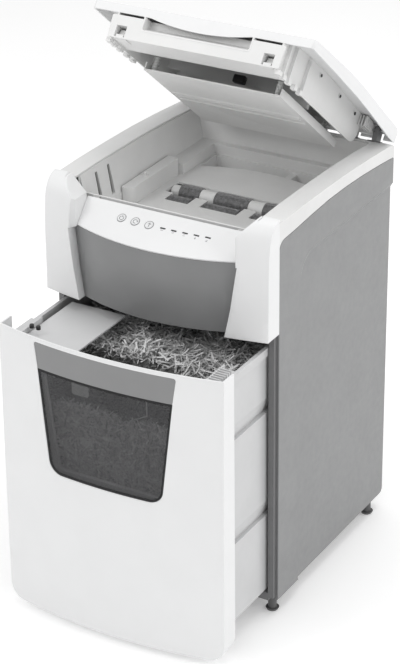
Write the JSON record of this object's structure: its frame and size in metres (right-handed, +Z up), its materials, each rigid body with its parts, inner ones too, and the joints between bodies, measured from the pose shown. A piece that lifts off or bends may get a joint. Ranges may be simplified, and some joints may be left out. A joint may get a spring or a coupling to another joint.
{
  "type": "paper shredder",
  "caption": "Office auto-feed paper shredder: gray and white cabinet, hinged lid over a paper tray and feed rollers, and a pull-out windowed bin.",
  "frame": {"origin": "on the floor, under the middle of the whole object as it stands, with the lid open and the bin part way out", "axes": "+X to the right seen from the front, +Y to the rear, +Z up; the bin pulls out along -Y"},
  "size_m": [0.393, 0.6017, 0.9291],
  "materials": {
    "white_cover": "fine satin white moulded plastic",
    "gray_panel": "satin mid-gray moulded plastic",
    "light_trim": "satin light gray-white plastic",
    "tray_gray": "fine-textured pale gray plastic",
    "tub_gray": "textured light gray plastic",
    "dark_frame": "dark gray structural plastic",
    "band_gray": "satin gray band",
    "smoked_window": "smoked clear plastic",
    "gasket": "black rubber seal",
    "steel": "ground steel",
    "plated_steel": "zinc-plated steel sheet",
    "feed_rubber": "ribbed dark rubber",
    "black_plastic": "black plastic",
    "board_green": "lacquered circuit board",
    "button_white": "satin white button cap",
    "lens_dark": "dark translucent lens",
    "motor_can": "painted motor can"
  },
  "bodies": {
    "cabinet": {"right_side_panel": "gray_panel", "left_side_panel": "gray_panel", "rear_panel": "gray_panel", "base_frame": "dark_frame", "right_pillar": "white_cover", "left_pillar": "white_cover", "front_panel": "gray_panel", "control_panel": "white_cover", "indicator_lenses": "lens_dark", "control_board": "board_green", "top_trim": "light_trim", "paper_tray": "tray_gray", "guide_block": "tray_gray", "feet": "black_plastic", "power_inlet": "black_plastic", "drawer_rails": "plated_steel", "bin_switch": "black_plastic", "rear_screws": "plated_steel", "hinge_brackets": "dark_frame", "hinge_pins": "steel", "head_plate": "dark_frame", "cutter_plates": "plated_steel", "cutter_bearings": "steel", "tie_rods": "steel", "motor_body": "motor_can", "mains_board": "board_green", "stripper_combs": "dark_frame", "feed_belts": "feed_rubber"},
    "power_button": {"power_button": "button_white"},
    "reverse_button": {"reverse_button": "button_white"},
    "forward_button": {"forward_button": "button_white"},
    "power_rocker": {"power_rocker": "black_plastic"},
    "cutter_front": {"cutter_shaft_front": "steel", "cutter_drum_front": "steel", "sync_gear_front": "steel"},
    "cutter_rear": {"cutter_shaft_rear": "steel", "cutter_drum_rear": "steel", "sync_gear_rear": "steel", "driven_gear": "steel"},
    "feed_roller_front": {"feed_shaft_front": "tray_gray", "feed_bands_front": "feed_rubber"},
    "feed_roller_rear": {"feed_shaft_rear": "tray_gray", "feed_bands_rear": "feed_rubber"},
    "idler": {"idler_gear": "steel"},
    "motor_rotor": {"motor_shaft": "steel"},
    "lid": {"lid_cover": "white_cover", "lid_frame": "tray_gray", "latch_frame": "tray_gray", "lid_screws": "plated_steel", "press_springs": "plated_steel"},
    "press_plate": {"press_plate": "tray_gray"},
    "latch": {"latch_tongues": "tray_gray"},
    "bin": {"bin_front": "white_cover", "bin_band": "band_gray", "bin_window": "smoked_window", "window_gasket": "gasket", "bin_tub": "tub_gray", "rim_fittings": "tub_gray", "bag_holder": "plated_steel", "bin_runners": "black_plastic"}
  },
  "joints": [
    {"name": "lid_hinge", "type": "hinge", "parent": "cabinet", "child": "lid", "pos_m": [0, 0.2851, 0.684], "axis": [1, 0, 0], "range_deg": [0, 39.3]},
    {"name": "press_slide", "type": "slide", "parent": "lid", "child": "press_plate", "axis": [0, 0.6334, 0.7738], "range_m": [0, 0.01], "stiffness_N_per_m": 260, "springref_m": -0.02, "deforming": ["press_springs"]},
    {"name": "latch_slide", "type": "slide", "parent": "lid", "child": "latch", "axis": [0, -0.7738, 0.6334], "range_m": [0, 0.013]},
    {"name": "bin_slide", "type": "slide", "parent": "cabinet", "child": "bin", "axis": [0, -1, 0], "range_m": [-0.136, 0.11]},
    {"name": "cutter_rear_spin", "type": "hinge", "parent": "cabinet", "child": "cutter_rear", "pos_m": [0, 0.1061, 0.545], "axis": [1, 0, 0], "continuous": true},
    {"name": "cutter_front_spin", "type": "hinge", "parent": "cabinet", "child": "cutter_front", "pos_m": [0, 0.0661, 0.545], "axis": [1, 0, 0], "continuous": true},
    {"name": "feed_rear_spin", "type": "hinge", "parent": "cabinet", "child": "feed_roller_rear", "pos_m": [0, 0.1061, 0.59], "axis": [1, 0, 0], "continuous": true},
    {"name": "feed_front_spin", "type": "hinge", "parent": "cabinet", "child": "feed_roller_front", "pos_m": [0, 0.0661, 0.59], "axis": [1, 0, 0], "continuous": true},
    {"name": "idler_spin", "type": "hinge", "parent": "cabinet", "child": "idler", "pos_m": [0, 0.1376, 0.545], "axis": [1, 0, 0], "continuous": true},
    {"name": "motor_spin", "type": "hinge", "parent": "cabinet", "child": "motor_rotor", "pos_m": [0, 0.1676, 0.545], "axis": [1, 0, 0], "continuous": true},
    {"name": "power_press", "type": "slide", "parent": "cabinet", "child": "power_button", "axis": [0, 0.5, -0.866], "range_m": [0, 0.0012], "stiffness_N_per_m": 900, "springref_m": -0.001},
    {"name": "reverse_press", "type": "slide", "parent": "cabinet", "child": "reverse_button", "axis": [0, 0.5, -0.866], "range_m": [0, 0.0012], "stiffness_N_per_m": 900, "springref_m": -0.001},
    {"name": "forward_press", "type": "slide", "parent": "cabinet", "child": "forward_button", "axis": [0, 0.5, -0.866], "range_m": [0, 0.0012], "stiffness_N_per_m": 900, "springref_m": -0.001},
    {"name": "rocker_tilt", "type": "hinge", "parent": "cabinet", "child": "power_rocker", "pos_m": [0.158, 0.2721, 0.075], "axis": [1, 0, 0], "range_deg": [0, 16]}
  ],
  "couplings": [
    {"joint": "cutter_front_spin", "follows": "cutter_rear_spin", "ratio": -1},
    {"joint": "feed_rear_spin", "follows": "cutter_rear_spin", "ratio": 1},
    {"joint": "feed_front_spin", "follows": "cutter_rear_spin", "ratio": -1},
    {"joint": "idler_spin", "follows": "cutter_rear_spin", "ratio": -2.5},
    {"joint": "motor_spin", "follows": "cutter_rear_spin", "ratio": 7.5}
  ]
}
